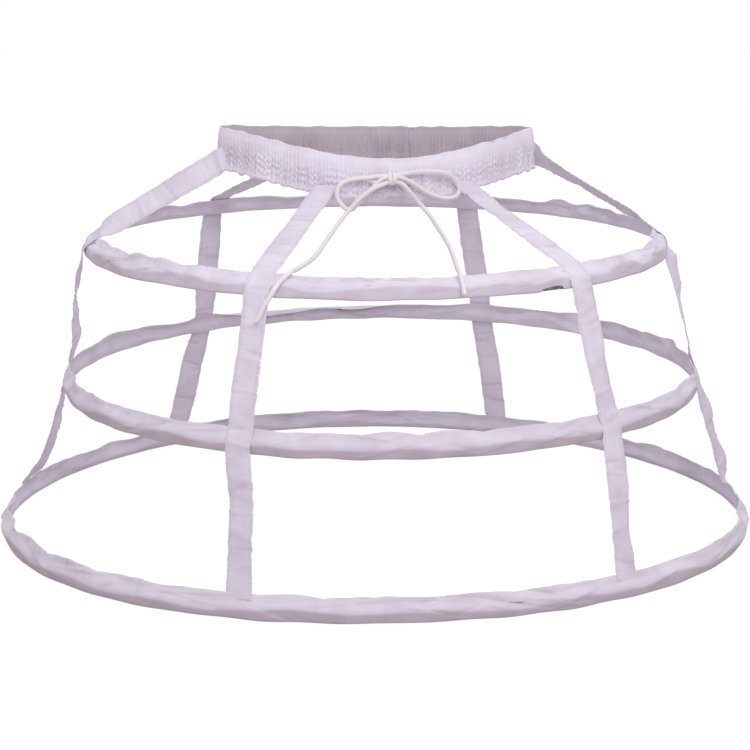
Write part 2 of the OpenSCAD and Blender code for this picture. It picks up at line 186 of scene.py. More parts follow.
# %% Grid to mesh
def cloth_from_grid(name, points, material, round_trip=False, tube=False, keep=None, inside=None):
    """points[i, j] is column i along the piece and row j across it, in millimetres. The painted shade, given
    for each row or for each point, is 1 where the cloth is painted in full shade, as on an inner side."""
    cols, rows = points.shape[:2]
    step_along, step_across = distances(points[:, 0])[-1] / (cols - 1), distances(points[0])[-1] / (rows - 1)
    faces, uvs = [], []
    for i in range(cols if round_trip else cols - 1):
        for j in range(rows if tube else rows - 1):
            if keep is None or keep[i, j]:
                corners = (i, j), (i, j + 1), (i + 1, j + 1), (i + 1, j)
                faces.append([a % cols * rows + b % rows for a, b in corners])
                uvs += [(a * step_along, b * step_across) for a, b in corners]
    mesh = bpy.data.meshes.new(name)
    mesh.from_pydata((points.reshape(-1, 3) * MM).tolist(), [], faces)
    mesh.uv_layers.new(name="cloth").data.foreach_set("uv", (np.array(uvs) * MM).ravel())
    mesh.polygons.foreach_set("use_smooth", [True] * len(faces))
    if inside is not None:
        shade_marks = mesh.attributes.new("inside", "FLOAT", "POINT")
        shade_marks.data.foreach_set("value", np.broadcast_to(inside, (cols, rows)).ravel())
    mesh.materials.append(material)
    mesh.update()
    piece = bpy.data.objects.new(name, mesh)
    bpy.context.scene.collection.objects.link(piece)
    print(name, "has", len(faces), "faces")
    return piece


# %% [markdown]
# ## Cotton
# The cloth is a plain woven cotton, white with a cold lavender cast. Its threads are finer than a pixel
# here, but close up the weave shows, so two crossing waves make a bump on the UV map. A slow noise varies
# the colour a little, as washed and handled cotton does, and a soft sheen lifts the edges. Shade is painted
# into the colour as a warm grey, on inner sides, in dents and creases and on lower parts, which each mesh
# marks point by point. The gathered band's cotton is painted lighter than the rest, a painted light, and
# takes a deeper painted shade on its inner side.

# %% Cotton material
# A warm grey painted into the cloth as shade, on inner sides, in creases and dents and on lower parts.
PAINTED_SHADE_GREY = (0.74, 0.70, 0.69)


def shader(name):
    """A new material, its node tree and its main shader."""
    material = bpy.data.materials.new(name)
    material.use_nodes = True
    return material, material.node_tree, material.node_tree.nodes["Principled BSDF"]


def fill_in(node, **values):
    """Sets a node's inputs by name. A space in a name is written as an underscore."""
    for name, value in values.items():
        node.inputs[name.replace("_", " ")].default_value = value
    return node


def add(tree, kind, **values):
    return fill_in(tree.nodes.new(kind), **values)


def wire(tree, *pairs):
    """Links pairs of sockets, each given as a node and a socket's name or number on both sides."""
    for start, output, end, socket in pairs:
        tree.links.new(start.outputs[output], end.inputs[socket])


def reckon(tree, operation, *terms):
    """A math node. Each term is a number or another node's output."""
    node = tree.nodes.new("ShaderNodeMath")
    node.operation = operation
    for socket, term in zip(node.inputs, terms):
        if isinstance(term, bpy.types.NodeSocket):
            tree.links.new(term, socket)
        else:
            socket.default_value = term
    return node.outputs[0]


def two_tones(tree, where, dark, light, low=0, high=1):
    """A ramp from a dark colour at low to a light one at high."""
    ramp = tree.nodes.new("ShaderNodeValToRGB")
    first, last = ramp.color_ramp.elements
    first.position, first.color = low, (*dark, 1)
    last.position, last.color = high, (*light, 1)
    tree.links.new(where, ramp.inputs["Fac"])
    return ramp.outputs["Color"]


def marked(tree, name):
    """The number that a mesh stores under a name."""
    mark = tree.nodes.new("ShaderNodeAttribute")
    mark.attribute_name = name
    return mark.outputs["Fac"]


def raise_threads(tree, height, strength, deep_mm, finish):
    relief = add(tree, "ShaderNodeBump", Strength=strength, Distance=deep_mm * MM)
    tree.links.new(height, relief.inputs["Height"])
    wire(tree, (relief, "Normal", finish, "Normal"))


def woven(name, colour, shade, thread_mm, sheen, bump, inside=PAINTED_SHADE_GREY):
    material, tree, cloth = shader(name)
    fill_in(cloth, Roughness=0.9, Specular_IOR_Level=0.2, Sheen_Weight=sheen, Sheen_Roughness=0.5)
    place = add(tree, "ShaderNodeTexCoord")
    patches = add(tree, "ShaderNodeTexNoise", Scale=38, Detail=4)
    # Painted shade: the colour is multiplied towards the warm grey by the amount that each mesh stores.
    painted_shading = tree.nodes.new("ShaderNodeMix")
    painted_shading.data_type, painted_shading.blend_type = "RGBA", "MULTIPLY"
    fill_in(painted_shading, B=(*inside, 1))
    wire(tree, (place, "Object", patches, "Vector"), (painted_shading, "Result", cloth, "Base Color"))
    tree.links.new(marked(tree, "inside"), painted_shading.inputs["Factor"])
    tone = two_tones(tree, patches.outputs["Fac"], shade, colour, 0.3, 0.62)
    tree.links.new(tone, painted_shading.inputs["A"])
    threads = []
    for way in ("X", "Y"):
        wave = add(tree, "ShaderNodeTexWave", Scale=math.pi / (20 * thread_mm * MM), Distortion=0.6)
        wave.bands_direction = way
        wire(tree, (place, "UV", wave, "Vector"))
        threads.append(wave.outputs["Fac"])
    raise_threads(tree, reckon(tree, "MULTIPLY", *threads), bump, 0.2, cloth)
    return material


COTTON = woven("white_cotton", (0.818, 0.78, 0.892), (0.725, 0.668, 0.775), 0.45, 0.12, 0.25)
# The band's cotton is a lighter copy of the same cloth, a painted light, and its inner side takes a deeper
# painted shade.
PAINTED_LIGHT_BAND_COTTON = woven("band_cotton_painted_light", (0.905, 0.868, 0.985), (0.80, 0.745, 0.86), 0.45, 0.12, 0.25,
                        inside=(0.625, 0.585, 0.575))
SEWING_THREAD = woven("white_thread", (0.83, 0.78, 0.86), (0.76, 0.70, 0.79), 0.2, 0.1, 0.1)
print("materials:", COTTON.name, PAINTED_LIGHT_BAND_COTTON.name, SEWING_THREAD.name)

# %% [markdown]
# ## Stitches by Geometry Nodes
# A row of stitches is one short thread repeated along a path, which is just what Geometry Nodes is for.
# The tree takes a curve, marks it at the stitch pitch, puts a small spindle of thread at each mark and
# turns it along the curve. Realize Instances then makes the row a plain mesh.

# %% Stitch tree
def inputs_by_name(tree):
    """A modifier's inputs are set by identifier, so this lists them by the name they show."""
    return {item.name: item.identifier for item in tree.interface.items_tree
            if item.item_type == "SOCKET" and item.in_out == "INPUT"}


def new_tree(name, sizes):
    """A tree that takes a path, some sizes and a thread, and gives a mesh."""
    tree = bpy.data.node_groups.new(name, "GeometryNodeTree")
    kinds = {"Path": "Geometry", **{size: "Float" for size in sizes}, "Thread": "Material"}
    for label, kind in kinds.items():
        tree.interface.new_socket(label, in_out="INPUT", socket_type="NodeSocket" + kind)
    tree.interface.new_socket("Mesh", in_out="OUTPUT", socket_type="NodeSocketGeometry")
    return tree, add(tree, "NodeGroupInput"), add(tree, "NodeGroupOutput")


def stitch_tree():
    tree, source, target = new_tree("stitch_row", ["Pitch", "Stitch", "Thickness"])
    marks = add(tree, "GeometryNodeResampleCurve")
    marks.mode = "LENGTH"
    spindle = add(tree, "GeometryNodeMeshUVSphere", Segments=6, Rings=4, Radius=0.5)
    size = add(tree, "ShaderNodeCombineXYZ")
    slim = add(tree, "GeometryNodeTransform")
    heading = add(tree, "GeometryNodeInputTangent")
    turn = add(tree, "FunctionNodeAlignRotationToVector")
    turn.axis = "Z"
    place = add(tree, "GeometryNodeInstanceOnPoints")
    real = add(tree, "GeometryNodeRealizeInstances")
    paint = add(tree, "GeometryNodeSetMaterial")
    wire(tree, (source, "Path", marks, "Curve"), (source, "Pitch", marks, "Length"),
         (source, "Thickness", size, "X"), (source, "Thickness", size, "Y"), (source, "Stitch", size, "Z"),
         (spindle, "Mesh", slim, "Geometry"), (size, "Vector", slim, "Scale"),
         (marks, "Curve", place, "Points"), (slim, "Geometry", place, "Instance"),
         (heading, "Tangent", turn, "Vector"), (turn, "Rotation", place, "Rotation"),
         (place, "Instances", real, "Geometry"), (real, "Geometry", paint, "Geometry"),
         (source, "Thread", paint, "Material"), (paint, "Geometry", target, "Mesh"))
    return tree


STITCHES = stitch_tree()
print("stitch tree:", len(STITCHES.nodes), "nodes")


def path_object(name, paths, closed=False):
    """A curve object with one poly line for each path of points in millimetres."""
    curve = bpy.data.curves.new(name, "CURVE")
    curve.dimensions = "3D"
    for path in paths:
        line = curve.splines.new("POLY")
        line.points.add(len(path) - 1)
        line.points.foreach_set("co", np.column_stack([path * MM, np.ones(len(path))]).ravel())
        line.use_cyclic_u = closed
    piece = bpy.data.objects.new(name + "_path", curve)
    bpy.context.scene.collection.objects.link(piece)
    return piece


def grow(name, path, tree, sizes):
    """Runs a node tree on a path and keeps the result as a plain mesh."""
    modifier = path.modifiers.new("grow", "NODES")
    modifier.node_group = tree
    sockets = inputs_by_name(tree)
    for label, value in sizes.items():
        modifier[sockets[label]] = value
    path.data.update_tag()
    shown = path.evaluated_get(bpy.context.evaluated_depsgraph_get())
    mesh = bpy.data.meshes.new_from_object(shown)
    mesh.name = name
    bpy.data.objects.remove(path)
    piece = bpy.data.objects.new(name, mesh)
    bpy.context.scene.collection.objects.link(piece)
    return piece


def stitch(name, paths, pitch, long, thick, closed=False, thread=SEWING_THREAD):
    path = path_object(name, paths, closed)
    piece = grow(name, path, STITCHES, {"Pitch": pitch * MM, "Stitch": long * MM, "Thickness": thick * MM,
                                        "Thread": thread})
    print(name, "has", len(piece.data.polygons), "faces")
    return piece


# %% [markdown]
# ## The waistband
# The band is one strip of cotton folded over an elastic and a drawstring. Its stitched channel is gathered
# into fine upright folds; below the stitching the two layers run free and ruffle more deeply. Cloth
# simulation could gather it, but hundreds of tiny folds need a mesh far finer than simulation handles
# well. So the folds are drawn as waves: a fine one in the channel, a coarser one in the ruffle, each with
# a pitch that wanders, over a cross-section that goes up the outside, over the top and down the inside.

# %% Waistband
GATHERS = 205
BAND_COLUMNS = GATHERS * 7
STITCHED = 12.0                      # height of the stitching that closes the channel
RUFFLE_LIFT = 4.5                    # the ruffle is pulled up behind the bow's knot
DIMPLE = 5.4                         # from dimple to dimple down the band, where the thread pulls at it

place = evenly_round(BAND_COLUMNS)
turn = np.linspace(0, 2 * np.pi, BAND_COLUMNS, endpoint=False)
fine_phase = GATHERS * turn + wander(turn, 3, 40, 1.6, 11)
deep_phase = GATHERS * 0.72 * turn + wander(turn, 2, 30, 2.4, 12)
crowding = 1 + wander(turn, 4, 30, 0.22, 13)


def fold_wave(phase, sharp):
    """A gather: a round crest and a narrow valley, from 0 to 1."""
    return (0.5 + 0.5 * np.cos(phase)) ** sharp


fine = crowding * (0.65 * fold_wave(fine_phase, 0.7) + 0.35 * fold_wave(1.62 * fine_phase + 1, 0.8))
deep = crowding * (0.6 * fold_wave(deep_phase, 0.8) + 0.4 * fold_wave(1.55 * deep_phase + 2, 0.9))
dimple_phase = wander(turn, 60, 190, 2.6, 15)
lift = RUFFLE_LIFT * np.exp(-((on_band(place, 0, 0)[:, 0] - 6) / 15) ** 2) * (np.cos(place) > 0)


def band_side(heights, side):
    """One face of the band from the lower edge up: side is 1 outside and -1 inside."""
    rows = []
    for h in heights:
        to_edge = np.clip((STITCHED - h) / STITCHED, 0, 1)
        in_ruffle = 1 - ease(h, STITCHED - 4, STITCHED + 3)
        body = 2.55 - 1.35 * ease(h, 27, 35.3) - 0.35 * np.exp(-((h - STITCHED) / 1.0) ** 2)
        shirred = ((0.8 if side > 0 else 1.1) - 0.4 * ease(h, 22, 31)) * (fine - 0.5)
        dimpled = np.sin(2 * np.pi * h / DIMPLE + dimple_phase)
        puckered = 0.85 * ease(h, 2, 6) * (1 - ease(h, 19, 26)) * dimpled
        ruffled = (0.7 + 0.6 * to_edge) * (deep - 0.5)
        flare = (0.9 if side > 0 else -0.6) * to_edge ** 1.5
        out = body + flare + in_ruffle * ruffled + (1 - in_ruffle) * shirred + puckered * (0.3 + 0.7 * fine)
        edge_wave = (0.5 * (deep - 0.5) + wander(turn, 30, 80, 0.5, 21)) * to_edge ** 2
        rows.append(on_band(place, side * out, h + edge_wave + lift * to_edge))
    return rows


outer_heights = np.concatenate([np.linspace(0, 11, 12), np.linspace(11.6, 16, 6), np.linspace(17.4, 34, 13)])
inner_heights = np.concatenate([np.linspace(34, 16, 11), np.linspace(14.5, 0, 9)])
top_wave = 0.5 * (fine - 0.5) + wander(turn, 5, 40, 0.35, 22)
over_top = [on_band(place, (1.35 + 0.4 * fine) * s, BAND_H + c + top_wave)
            for s, c in ((0.85, -0.25), (0.45, 0.15), (0, 0.3), (-0.45, 0.15), (-0.85, -0.25))]
band_grid = np.stack(band_side(outer_heights, 1) + over_top + band_side(inner_heights, -1), 1)
# Painted shade: the inner face is painted darker, and so are the valleys of the gathers and the dimples where
# the thread pulls.
inner_face_shade = np.concatenate([np.zeros(len(outer_heights) + 2), np.full(3 + len(inner_heights), 1.0)])
valley_shade = 0.32 * np.clip(0.62 - fine, 0, 1)[:, None] * np.concatenate(
    [0.3 + 0.7 * (1 - ease(outer_heights, 24, 33)), np.full(5 + len(inner_heights), 0.3)])
in_pucker = ease(outer_heights, 0, 4) * (1 - ease(outer_heights, 14, 20))
dimples = np.clip(-np.sin(2 * np.pi * outer_heights / DIMPLE + dimple_phase[:, None]), 0, 1)
valley_shade[:, :len(outer_heights)] += 0.7 * in_pucker * dimples * (0.25 + 0.75 * (1 - fine))[:, None]
waistband = cloth_from_grid("gathered_waistband", band_grid, PAINTED_LIGHT_BAND_COTTON, round_trip=True,
                            inside=inner_face_shade + valley_shade)
print("the waistband has", GATHERS, "gathers")

# %% [markdown]
# The ruffle's raw edge is overlocked: loops of thread wrap it so that it can't fray, and they make the
# edge bumpy. The stitch rule can do this too: three rows of fat stitches close together along the edge look
# like its loops. One row of thin stitches closes the channel and shows as a dotted line.

# %% Overlocked edge and channel stitching
outward = on_band(place, 1, 0) - on_band(place, 0, 0)
edge, next_row = band_grid[:, 0], band_grid[:, 1]
overlock = stitch("overlocked_edge", [edge - [0, 0, 0.3], (edge + next_row) / 2, next_row + 0.4 * outward],
                  pitch=2.1, long=2.3, thick=1.7, closed=True)
stitched_row = int(np.argmin(np.abs(outer_heights - STITCHED)))
channel_stitches = stitch("channel_stitches", [band_grid[:, stitched_row] + 0.35 * outward],
                          pitch=3.0, long=2.1, thick=0.5, closed=True)

# %% [markdown]
# ## The casings
# Each hoop runs in a casing: a strip of cotton folded round the steel, with its two edges sewn together
# above. The steel fills the lower half, so that half is plump and turns under at a crisp fold, and the
# cloth above it is two loose layers that wave and pucker. The cross-section is drawn once, from the outer
# edge down, round the bottom and up the inside, and then varied along the hoop: the top edge rises and dips
# in lumps, the fold wanders, and slanting creases cross the faces where the cloth was pulled along.

# %% Casing cross-section
CASING_TOP, CASING_LOW = 10.0, -10.0
# Angles where straps press on a casing. At the top the side straps lie along it, so they have two each.
STRAP_PLACES = {
    "top": np.radians([-28, 32, 86, 101, 153, 211, -88, -103]),
    "middle": np.radians([-30, 34, 84, 152, 213, -94]),
    "bottom": np.radians([-25, 31, 88, 149, 213, -101]),
}


def round_gap(at, other, radius):
    """Distance along the hoop between two angles, the short way round."""
    return radius * ((at - other + np.pi) % (2 * np.pi) - np.pi)


def lumpy(at, count, low, high, seed):
    """A top edge in lumps with small notches between them, as a puckered seam has."""
    pick = np.random.default_rng(seed)
    marks = np.sort((np.arange(count) + pick.uniform(-0.33, 0.33, count)) / count * 2 * np.pi)
    heights = pick.uniform(low, high, count)
    i = np.searchsorted(marks, at) % count
    start, end = marks[i - 1], marks[i]
    f = ((at - start) % (2 * np.pi)) / ((end - start) % (2 * np.pi))
    return heights[i] * np.clip(np.sin(np.pi * f), 0, 1) ** 0.75


def creases(at, up, radius, count, seed):
    """Slanting creases across a casing's face, as distances out of it. Each is steep on one side, as a fold
    of pressed cloth is."""
    pick = np.random.default_rng(seed)
    total = np.zeros(np.broadcast_shapes(at.shape, up.shape))
    for _ in range(count):
        centre, slope = pick.uniform(0, 2 * np.pi), pick.choice([-1, 1]) * pick.uniform(0.06, 0.32)
        level, long = pick.uniform(-6, 8), pick.uniform(22, 75)
        wide, deep = pick.uniform(1.6, 4.0), pick.uniform(0.4, 1.2) * pick.choice([1, 1, -1])
        along = round_gap(at, centre, radius)
        fade = np.exp(-(along / long * 2) ** 2)
        across = up - level - slope * along
        total = total + deep * fade * np.exp(-(across / np.where(across > 0, wide, 0.75)) ** 2)
    return total


print("straps press on the casings at", sum(len(places) for places in STRAP_PLACES.values()), "places")


# %% [markdown]
# The columns are close enough for creases a few millimetres wide. Where a strap crosses, it presses the
# casing flat, so the lumps and creases fade there. Fine puckers run down from the seam, where the thread
# draws the cloth up. At the back of the middle hoop the loose edge has flopped inwards. The top casing has
# a worn hole at its lower edge. Shade is painted in a warm grey: on the two lower casings all over, where
# the light falls off lower down, on the inner face towards the back, in the creases, on the lower half of the
# outer face and darkest along its fold.

# %% Casings
# How the loose edge leans inwards: degrees all round, degrees more at one place, and that place
FLOP = {"bottom": (6, 0, 0), "middle": (8, 74, math.radians(192)), "top": (4, 14, math.radians(185))}
WORN_AT, WORN_HALF = math.radians(25.4), 11.5
LOWEST_ROWS = np.arange(23, 28)      # rows of the cross-section at the casing's lower fold


def sew_casing(hoop, seed, columns, lumps, crease_count, hole=None):
    """Sews a hoop's casing. lumps is the number along its top edge, and hole the angle of a worn hole."""
    radius = HOOPS[hoop]["r"]
    at = np.linspace(0, 2 * np.pi, columns, endpoint=False)
    held = np.clip(sum(np.exp(-(round_gap(at, a, radius) / (20 + 14 * abs(math.sin(a)) ** 9)) ** 2)
                       for a in STRAP_PLACES[hoop]), 0, 1)
    free = 1 - held
    crumpled = 0.45 + 0.55 * np.abs(np.sin(at)) ** 3
    top = CASING_TOP - 1.2 + free * (0.6 + 0.7 * crumpled) * lumpy(at, lumps, 0.5, 2.9, seed) + 0.9 * held
    top = top + free * wander(at, 40, 110, 0.15, seed + 4)
    low = CASING_LOW + wander(at, 6, 40, 0.25, seed + 1)
    sway = free * crumpled * wander(at, 6, 40, 1.3, seed + 2)
    puff = free * np.abs(wander(at, 9, 44, 0.7, seed + 3))
    pucker = free * crumpled * wander(at, 90, 240, 0.22, seed + 6)
    ridge = -3.5 + free * wander(at, 5, 26, 1.5, seed + 8)
    always, back, middle = FLOP[hoop]
    flop = np.radians(always + back * np.exp(-(round_gap(at, middle, 1) / 0.62) ** 2)) * (1 - 0.6 * held)
    flop = flop + free * wander(at, 5, 24, math.radians(6), seed + 7)
    worn = np.zeros(columns)
    if hole is not None:
        along = round_gap(at, hole, radius)
        worn = np.clip(1 - (along / WORN_HALF) ** 4, 0, 1) ** 0.6 * (1.8 + 0.07 * along)
        low = low + worn

    def side(q, face):
        """Points down one face and how much painted shade each has: face is 1 outside and -1 inside."""
        up = top[:, None] + (low - top)[:, None] * q[None, :]
        above_low = up - low[:, None]
        belly = 0.5 + 2.7 * (1 - ease(up - ridge[:, None], 0, 8.5))
        belly = belly * np.clip(above_low / (ridge - low)[:, None], 0, 1) ** 0.6
        loose = ease(up, -1, 9)
        soft = free[:, None] * creases(at[:, None], up, radius, crease_count, seed + 5 + face)
        soft = soft * ease(above_low, 0, 3) + puff[:, None] * np.sin(np.pi * q)[None, :] ** 2
        soft = soft + pucker[:, None] * ease(up, 0, 8)
        out = sway[:, None] * loose + face * (belly + (soft if face > 0 else 0.6 * soft))
        flap = np.clip(up - 2.0, 0, None)
        out = out - flap * np.sin(flop)[:, None]
        up = up - flap * (1 - np.cos(flop))[:, None]
        # Painted shade in the valleys of the creases, and on the outer face below the steel's ridge.
        shade_marks = 0.6 * np.clip(-soft, 0, 1) + 0.4 * (face > 0) * ease(ridge[:, None] - up, -1.0, 0.5)
        return beside_hoop(hoop, at[:, None], out, up), shade_marks

    down = np.concatenate([np.linspace(0, 0.8, 17), np.linspace(0.84, 1, 8)])
    (outer, outer_shade_marks), (inner, inner_shade_marks) = side(down, 1), side(down[::-1][1:], -1)
    rim = 0.1 * outer[:, :1] + 0.9 * inner[:, -1:]
    grid = np.concatenate([rim, outer, inner], 1)
    grid[..., 2] = np.maximum(grid[..., 2], 0.1)
    keep = np.ones(grid.shape[:2], bool)
    keep[np.ix_(worn > 0.8, LOWEST_ROWS)] = False
    # Painted shade: the two lower casings are darker all over, where the light falls off lower down; the
    # inner face is darker towards the back; the outer face darkens on its lower half and most at its fold.
    falloff_shade = 0.0 if hoop == "top" else 0.3
    painted_shading = 0.4 * falloff_shade + (0.05 + 0.6 * falloff_shade) * np.clip(-np.cos(at), 0, 1)[:, None] ** 3
    outer_shade = falloff_shade + 0.2 * ease(down, 0.35, 0.7) + 0.4 * ease(down, 0.94, 1)
    shade_amount = np.concatenate([0 * at[:, None], outer_shade + outer_shade_marks, painted_shading + inner_shade_marks], 1)
    piece = cloth_from_grid(hoop + "_casing_cloth", grid, COTTON, round_trip=True, keep=keep, inside=shade_amount)
    return piece, grid


casings, casing_grids = {}, {}
for hoop, seed, columns, lumps, crease_count in (("bottom", 40, 1700, 30, 110), ("middle", 60, 1500, 26, 100),
                                                 ("top", 80, 1400, 24, 90)):
    casings[hoop], casing_grids[hoop] = sew_casing(hoop, seed, columns, lumps, crease_count,
                                                   WORN_AT if hoop == "top" else None)

# %% [markdown]
# A single row of stitches holds the two edges of a casing together, a little below the edge.

# %% Casing seams
casing_seams = {}
for hoop, grid in casing_grids.items():
    seam_line = grid[:, 3] + 0.1 * unit(grid[:, 3] - grid[:, -3])
    casing_seams[hoop] = stitch(hoop + "_casing_seam", [seam_line], pitch=3.2, long=2.2, thick=0.45,
                                closed=True)

# %% [markdown]
# A tack of blue-violet thread is left on the top hoop beside its left strap, as a maker marks the place for
# a strap.

# %% Blue tack
BLUE_THREAD = woven("blue_violet_thread", (0.24, 0.24, 0.62), (0.18, 0.18, 0.50), 0.2, 0.1, 0.1)
TACK = [(-85.2, 3.2, -4.5), (-84.8, 3.4, -2.5), (-84.4, 2.8, 0), (-84, 1.9, 2), (-83.6, 1.0, 4.5)]
tack_line = np.stack([beside_hoop("top", math.radians(a), n, u) for a, n, u in TACK])
tack = stitch("blue_tack", [tack_line], pitch=1.2, long=2.4, thick=0.8, thread=BLUE_THREAD)

# %% [markdown]
# ## The straps
# A strap is a flat tube of cotton, sewn over the band at one end and into the hem's seam at the other. It
# lies over the two upper casings on its way. At the front it hangs flat and taut, but at the sides it is
# slack, so it twists and kinks. A strap is a path with a width at each station; each free span has a few
# listed rows that say how far it bows out and how much it turns.

# %% Strap routes
STRAP_W, STRAP_T = 21.5, 1.0
CREST, CLEAR = 4.1, 0.3              # how far a gather stands off the band's middle, and air beyond it
ON_BAND = CREST + CLEAR + STRAP_T / 2
LIFT = STRAP_T / 2 - 0.15            # sewn tight, so it presses a little into the casing
SEAM_EDGE = 0.55                     # half the thickness of a casing's sewn edge
# For each strap: place, height and slant on the band, angles at the hoops, and for each free span its rows
# of (part of the span, bow outwards in mm, bow sideways in mm, turn in degrees)
STRAPS = {
    "front_left_strap": (-20.5, 14, -30, (-28, -30, -25.8), (
        [(0, 0, 0, 0), (0.3, -1, 0, 4), (0.7, 0, 0, -3), (1, 0, 0, 0)],
        [(0, 0, 0, 0), (0.35, 0.5, 0.6, 4), (0.7, 0, -0.5, -4), (1, 0, 0, 0)],
        [(0, 0, 0, 0), (0.4, -0.5, 2.5, 8), (0.75, 0.5, 1, 10), (1, 0, 0, 0)])),
    "front_right_strap": (26, 14, 42, (32, 34, 31.7), (
        [(0, 0, 0, 0), (0.3, -1, 0, -4), (0.7, 0, 0, 3), (1, 0, 0, 0)],
        [(0, 0, 0, 0), (0.4, 0.6, -1.5, 6), (0.75, 0, -1, -4), (1, 0, 0, 0)],
        [(0, 0, 0, 0), (0.3, 0.5, 0.6, 4), (0.7, -0.5, -0.3, -8), (1, 0, 0, 0)])),
    "right_strap": (111, 19, -58, (86, 84, 88), (
        [(0, 0, 0, 24), (0.12, 0, 0, 33), (0.25, 0, 0, 31), (0.4, 1, 0, 25), (0.6, 1, 0, 10),
         (0.8, 1, 0, -6), (1, 0, 0, 0)],
        [(0, 0, 0, 0), (0.15, 1, -1, 36), (0.35, 2, 0, 26), (0.55, 1, 1, 12), (0.8, 1, 1, 8), (1, 0, 0, 4)],
        [(0, 0, 0, 4), (0.12, 0, 0, 20), (0.35, 1, 0, 34), (0.6, 0, 1, 24), (0.83, 1, 0, 38),
         (1, 0, 0, 30)])),
    "back_right_strap": (148, 14, 0, (153, 152, 149), (
        [(0, 0, 0, 0), (0.5, -2, 0, 8), (1, 0, 0, 0)],
        [(0, 0, 0, 0), (0.4, 1, 0.6, -10), (0.75, 0, -0.6, -8), (1, 0, 0, 0)],
        [(0, 0, 0, 0), (0.5, 1, -0.8, -12), (1, 0, 0, -8)])),
    "back_left_strap": (215, 14, 0, (211, 213, 213), (
        [(0, 0, 0, 0), (0.5, -2, 0, 6), (1, 0, 0, 0)],
        [(0, 0, 0, 0), (0.3, 1, -0.6, 12), (0.75, 0, 0.6, 16), (1, 0, 0, 0)],
        [(0, 0, 0, 0), (0.3, 1, 0.8, 18), (0.7, 0, 0, 20), (1, 0, 0, 8)])),
    "left_strap": (-70, 14, -58, (-88, -94, -101), (
        [(0, 0, 0, 0), (0.35, 1, 0, -12), (0.87, 1.5, 0, -34), (1, 0, 0, -4)],
        [(0, 0, 0, 0), (0.2, 1, 0, 14), (0.45, 2, 0, 3), (0.62, 0, 0, 12), (0.8, -3, 0, 16), (1, 0, 0, 8)],
        [(0, 0, 0, 4), (0.15, -3, 0, 3), (0.3, -5, 0, 8), (0.5, -8, 1, 12), (0.7, -9, 0, 14),
         (0.88, -6, 0, 22), (1, 0, 0, 12)])),
}


def free_span(start, end, start_side, end_side, rows, outward, count=46):
    """Stations of a free span, which bows and turns as its rows say."""
    f = np.linspace(0, 1, count + 2)[1:-1]
    bow_out, bow_side, turn = glide(rows, f).T
    way = unit(end - start)
    side = start_side[None] * (1 - f)[:, None] + end_side[None] * f[:, None]
    side = unit(side - (side @ way)[:, None] * way)
    up = np.cross(way, side)
    angle = np.radians(turn)[:, None]
    middle = start + f[:, None] * (end - start) + bow_out[:, None] * outward + bow_side[:, None] * side
    return middle, side * np.cos(angle) + up * np.sin(angle)


def over_band(place, height, slant):
    """Stations on the band from the strap's sewn end, which lies in the gathers, down and off the band."""
    t, turned = math.radians(place), math.radians(slant)
    along = along_band(np.array(t))
    down = along * math.sin(turned) - np.array([0, 0, math.cos(turned)])
    if abs(slant) > 50:
        side = along * math.cos(turned) + np.array([0, 0, math.sin(turned)])
        steps = (5, -3.4), (9, -2), (13, -0.4), (18, 0)
    else:
        side = along
        steps = (6.5, -1.7), (9, -0.9), (12, -0.2), (14.5, 0.2), (18, 3)
    return [on_band(t, ON_BAND + out, height) + d * down for d, out in steps], [side] * len(steps)


def strap_route(spec):
    """The middle line of a strap and its width's direction, from the band to the hem."""
    place, height, slant, hoops, spans = spec
    at = np.radians(hoops)
    along = [np.array([math.cos(a), math.sin(a), 0]) for a in at]
    out = [np.array([math.sin(a), -math.cos(a), 0]) for a in at]
    points, sides = over_band(place, height, slant)

    def join(first, side, rows, outward):
        middle, turned = free_span(points[-1], first, sides[-1], side, rows, outward)
        points.extend(middle)
        sides.extend(turned)

    for k, (hoop, arrival) in enumerate((("top", [32, 16, 0]), ("middle", [20, 10, 0]))):
        seat = [(SEAM_EDGE + LIFT * math.cos(a), CASING_TOP + LIFT * math.sin(a))
                for a in np.radians(arrival)]
        seat += [(out_by + LIFT, u) for out_by, u in ((0.65, 6), (1.6, 1.8), (3.2, -3), (3.4, -6), (3.4, -9))]
        seat = [beside_hoop(hoop, at[k], n, u) for n, u in seat]
        join(seat[0], along[k], spans[k], out[k])
        points.extend(seat)
        sides.extend([along[k]] * len(seat))
    hem = [beside_hoop("bottom", at[2], 0, u) for u in (11, 9, 5.1)]
    join(hem[0], along[2], spans[2], out[2])
    points.extend(hem)
    sides.extend([along[2]] * len(hem))
    return np.array(points), np.array(sides)


print("straps:", len(STRAPS), "of", STRAP_W, "mm tape")

# %% [markdown]
# The route is then sampled about every millimetre and given a cross-section: two faces and two rounded
# edges. Soft ripples and short creases run across it, its edges wander, and a shallow groove marks each
# line of edge stitching. Shade is painted a little darker on the inner face, in the dents, in the grooves
# and, towards the hem, on the outer face, where the light falls off lower down.

# %% Straps
def smooth_route(points, sides, step):
    """A route sampled at equal steps and softened: distances, points, width's and path's directions."""
    length = distances(points)
    at = np.linspace(0, length[-1], int(length[-1] / step) + 1)
    line = np.stack([np.interp(at, length, points[:, k]) for k in range(3)], 1)
    wide = np.stack([np.interp(at, length, sides[:, k]) for k in range(3)], 1)
    for values in (line, wide) * 3:
        values[1:-1] = 0.25 * values[:-2] + 0.5 * values[1:-1] + 0.25 * values[2:]
    heading = unit(np.gradient(line, axis=0))
    return at, line, unit(wide), heading


def strap_creases(at, across, seed):
    """Short creases across a strap, one about every 20 mm, as distances out of it."""
    pick = np.random.default_rng(seed)
    total = np.zeros(across.shape)
    places = np.arange(12, at[-1] - 8, 20)
    for centre in places + pick.uniform(-8, 8, len(places)):
        tilt, wide = pick.uniform(-0.3, 0.3), pick.uniform(1.1, 2.0)
        deep = pick.uniform(0.5, 1.25) * pick.choice([-1, 1])
        reach = np.exp(-((across - pick.uniform(-8, 8)) / pick.uniform(7, 16)) ** 2)
        total += deep * reach * np.exp(-((at[:, None] - centre - tilt * across) / wide) ** 2)
    return total


